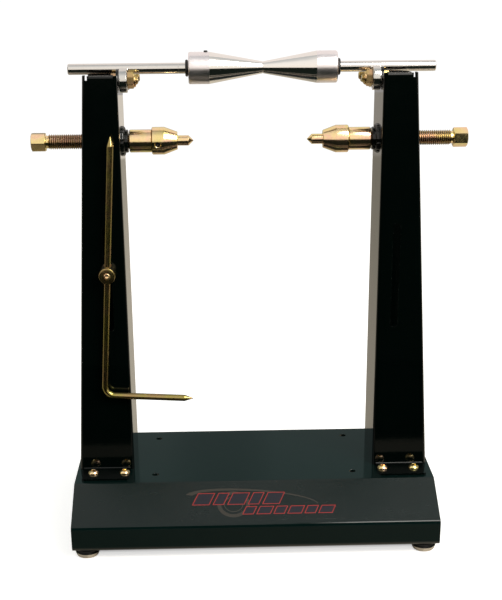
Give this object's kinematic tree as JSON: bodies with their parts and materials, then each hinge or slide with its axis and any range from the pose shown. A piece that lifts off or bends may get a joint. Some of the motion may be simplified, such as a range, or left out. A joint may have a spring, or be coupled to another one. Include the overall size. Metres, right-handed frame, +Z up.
{
  "type": "wheel balancing and truing stand",
  "caption": "Bench stand that holds a spoked wheel on a cone-fitted shaft over roller bearings, with screw centres and a pointer for truing it.",
  "frame": {"origin": "on the floor under the middle of the base", "axes": "+Z up, -Y towards the front slope with the label, +X to the right hand upright seen from the front, parallel to the shaft"},
  "size_m": [0.4144, 0.233, 0.4673],
  "materials": {
    "black_powder_coat": "gloss black powder coat on folded steel sheet",
    "vinyl_label": "thin printed vinyl label, plain panel",
    "yellow_zinc": "steel, yellow zinc plated, slightly iridescent",
    "black_oxide": "steel, black oxide",
    "nylon": "natural nylon",
    "zinc_steel": "steel, bright zinc plated",
    "bearing_steel": "ground and polished bearing steel",
    "ground_steel": "ground and polished steel bar",
    "turned_aluminium": "turned aluminium, polished taper and satin collar",
    "rubber": "black rubber",
    "nickel_plate": "pressed steel, nickel plated"
  },
  "bodies": {
    "frame": {"base_shell": "black_powder_coat", "front_label": "vinyl_label", "upright_left": "black_powder_coat", "upright_right": "black_powder_coat", "foot_tab_screws": "yellow_zinc", "foot_tab_nuts": "yellow_zinc", "bearing_bolts": "yellow_zinc", "bearing_shims": "zinc_steel", "bearing_lock_nuts": "yellow_zinc", "lock_nut_rings": "nylon", "bearing_inner_rings": "bearing_steel", "bearing_balls": "bearing_steel", "threaded_bosses": "black_powder_coat", "boss_welds": "black_powder_coat", "glide_weld_nuts": "black_powder_coat"},
    "shaft": {"balance_shaft": "ground_steel"},
    "roller_front_left": {"bearing_ring_front_left": "bearing_steel", "bearing_shields_front_left": "bearing_steel"},
    "roller_front_right": {"bearing_ring_front_right": "bearing_steel", "bearing_shields_front_right": "bearing_steel"},
    "roller_back_left": {"bearing_ring_back_left": "bearing_steel", "bearing_shields_back_left": "bearing_steel"},
    "roller_back_right": {"bearing_ring_back_right": "bearing_steel", "bearing_shields_back_right": "bearing_steel"},
    "centring_cone_left": {"cone_left": "turned_aluminium", "cone_screw_left": "black_oxide", "cone_oring_left": "rubber"},
    "centring_cone_right": {"cone_right": "turned_aluminium", "cone_screw_right": "black_oxide", "cone_oring_right": "rubber"},
    "truing_cone_left": {"adjuster_cone_left": "yellow_zinc", "adjuster_screw_left": "black_oxide"},
    "truing_spindle_left": {"adjuster_spindle_left": "yellow_zinc", "adjuster_sleeve_left": "yellow_zinc"},
    "truing_cone_right": {"adjuster_cone_right": "yellow_zinc", "adjuster_screw_right": "black_oxide"},
    "truing_spindle_right": {"adjuster_spindle_right": "yellow_zinc", "adjuster_sleeve_right": "yellow_zinc"},
    "pointer_carriage": {"pointer_washers": "yellow_zinc", "pointer_nut": "yellow_zinc"},
    "pointer_clamp_body": {"pointer_clamp": "yellow_zinc", "pointer_lock_screw": "yellow_zinc", "pointer_stud": "yellow_zinc"},
    "pointer_arm": {"pointer_rod": "yellow_zinc"},
    "glide_front_left": {"glide_shell_front_left": "nickel_plate", "glide_cushion_front_left": "rubber"},
    "stem_front_left": {"glide_stem_front_left": "zinc_steel"},
    "glide_front_right": {"glide_shell_front_right": "nickel_plate", "glide_cushion_front_right": "rubber"},
    "stem_front_right": {"glide_stem_front_right": "zinc_steel"},
    "glide_back_left": {"glide_shell_back_left": "nickel_plate", "glide_cushion_back_left": "rubber"},
    "stem_back_left": {"glide_stem_back_left": "zinc_steel"},
    "glide_back_right": {"glide_shell_back_right": "nickel_plate", "glide_cushion_back_right": "rubber"},
    "stem_back_right": {"glide_stem_back_right": "zinc_steel"}
  },
  "joints": [
    {"name": "shaft_spin", "type": "hinge", "parent": "frame", "child": "shaft", "pos_m": [0, 0, 0.4517], "axis": [1, 0, 0], "continuous": true},
    {"name": "roller_front_left_spin", "type": "hinge", "parent": "frame", "child": "roller_front_left", "pos_m": [0, -0.013, 0.44235], "axis": [1, 0, 0], "continuous": true},
    {"name": "roller_front_right_spin", "type": "hinge", "parent": "frame", "child": "roller_front_right", "pos_m": [0, -0.013, 0.44235], "axis": [1, 0, 0], "continuous": true},
    {"name": "roller_back_left_spin", "type": "hinge", "parent": "frame", "child": "roller_back_left", "pos_m": [0, 0.013, 0.44235], "axis": [1, 0, 0], "continuous": true},
    {"name": "roller_back_right_spin", "type": "hinge", "parent": "frame", "child": "roller_back_right", "pos_m": [0, 0.013, 0.44235], "axis": [1, 0, 0], "continuous": true},
    {"name": "centring_cone_left_slide", "type": "slide", "parent": "shaft", "child": "centring_cone_left", "axis": [-1, 0, 0], "range_m": [0, 0.044]},
    {"name": "centring_cone_right_slide", "type": "slide", "parent": "shaft", "child": "centring_cone_right", "axis": [1, 0, 0], "range_m": [0, 0.0195]},
    {"name": "adjuster_left_travel", "type": "slide", "parent": "frame", "child": "truing_cone_left", "axis": [1, 0, 0], "range_m": [0, 0.05]},
    {"name": "adjuster_left_turn", "type": "hinge", "parent": "truing_cone_left", "child": "truing_spindle_left", "pos_m": [0, 0, 0.3856], "axis": [1, 0, 0], "range_deg": [0, 9001]},
    {"name": "adjuster_right_travel", "type": "slide", "parent": "frame", "child": "truing_cone_right", "axis": [-1, 0, 0], "range_m": [0, 0.05]},
    {"name": "adjuster_right_turn", "type": "hinge", "parent": "truing_cone_right", "child": "truing_spindle_right", "pos_m": [0, 0, 0.3856], "axis": [-1, 0, 0], "range_deg": [0, 9001]},
    {"name": "pointer_height", "type": "slide", "parent": "frame", "child": "pointer_carriage", "axis": [0, 0, 1], "range_m": [-0.034, 0.038]},
    {"name": "pointer_swivel", "type": "hinge", "parent": "pointer_carriage", "child": "pointer_clamp_body", "pos_m": [-0.1381, -0.0415, 0.2664], "axis": [0, 1, 0], "range_deg": [-20, 20]},
    {"name": "pointer_reach", "type": "slide", "parent": "pointer_clamp_body", "child": "pointer_arm", "axis": [0.0688, 0, 0.9976], "range_m": [-0.015, 0.03]},
    {"name": "glide_front_left_height", "type": "slide", "parent": "frame", "child": "glide_front_left", "axis": [0, 0, -1], "range_m": [0, 0.01]},
    {"name": "glide_front_left_turn", "type": "hinge", "parent": "glide_front_left", "child": "stem_front_left", "pos_m": [-0.1657, -0.1, 0.02], "axis": [0, 0, -1], "range_deg": [0, 2881]},
    {"name": "glide_front_right_height", "type": "slide", "parent": "frame", "child": "glide_front_right", "axis": [0, 0, -1], "range_m": [0, 0.01]},
    {"name": "glide_front_right_turn", "type": "hinge", "parent": "glide_front_right", "child": "stem_front_right", "pos_m": [0.1657, -0.1, 0.02], "axis": [0, 0, -1], "range_deg": [0, 2881]},
    {"name": "glide_back_left_height", "type": "slide", "parent": "frame", "child": "glide_back_left", "axis": [0, 0, -1], "range_m": [0, 0.01]},
    {"name": "glide_back_left_turn", "type": "hinge", "parent": "glide_back_left", "child": "stem_back_left", "pos_m": [-0.1657, 0.1, 0.02], "axis": [0, 0, -1], "range_deg": [0, 2881]},
    {"name": "glide_back_right_height", "type": "slide", "parent": "frame", "child": "glide_back_right", "axis": [0, 0, -1], "range_m": [0, 0.01]},
    {"name": "glide_back_right_turn", "type": "hinge", "parent": "glide_back_right", "child": "stem_back_right", "pos_m": [0.1657, 0.1, 0.02], "axis": [0, 0, -1], "range_deg": [0, 2881]}
  ],
  "couplings": [
    {"joint": "roller_front_left_spin", "follows": "shaft_spin", "ratio": -0.45454},
    {"joint": "roller_front_right_spin", "follows": "shaft_spin", "ratio": -0.45454},
    {"joint": "roller_back_left_spin", "follows": "shaft_spin", "ratio": -0.45454},
    {"joint": "roller_back_right_spin", "follows": "shaft_spin", "ratio": -0.45454},
    {"joint": "adjuster_left_turn", "follows": "adjuster_left_travel", "rad_per_m": 3141.6},
    {"joint": "adjuster_right_turn", "follows": "adjuster_right_travel", "rad_per_m": 3141.6},
    {"joint": "glide_front_left_turn", "follows": "glide_front_left_height", "rad_per_m": 5026.5},
    {"joint": "glide_front_right_turn", "follows": "glide_front_right_height", "rad_per_m": 5026.5},
    {"joint": "glide_back_left_turn", "follows": "glide_back_left_height", "rad_per_m": 5026.5},
    {"joint": "glide_back_right_turn", "follows": "glide_back_right_height", "rad_per_m": 5026.5}
  ]
}
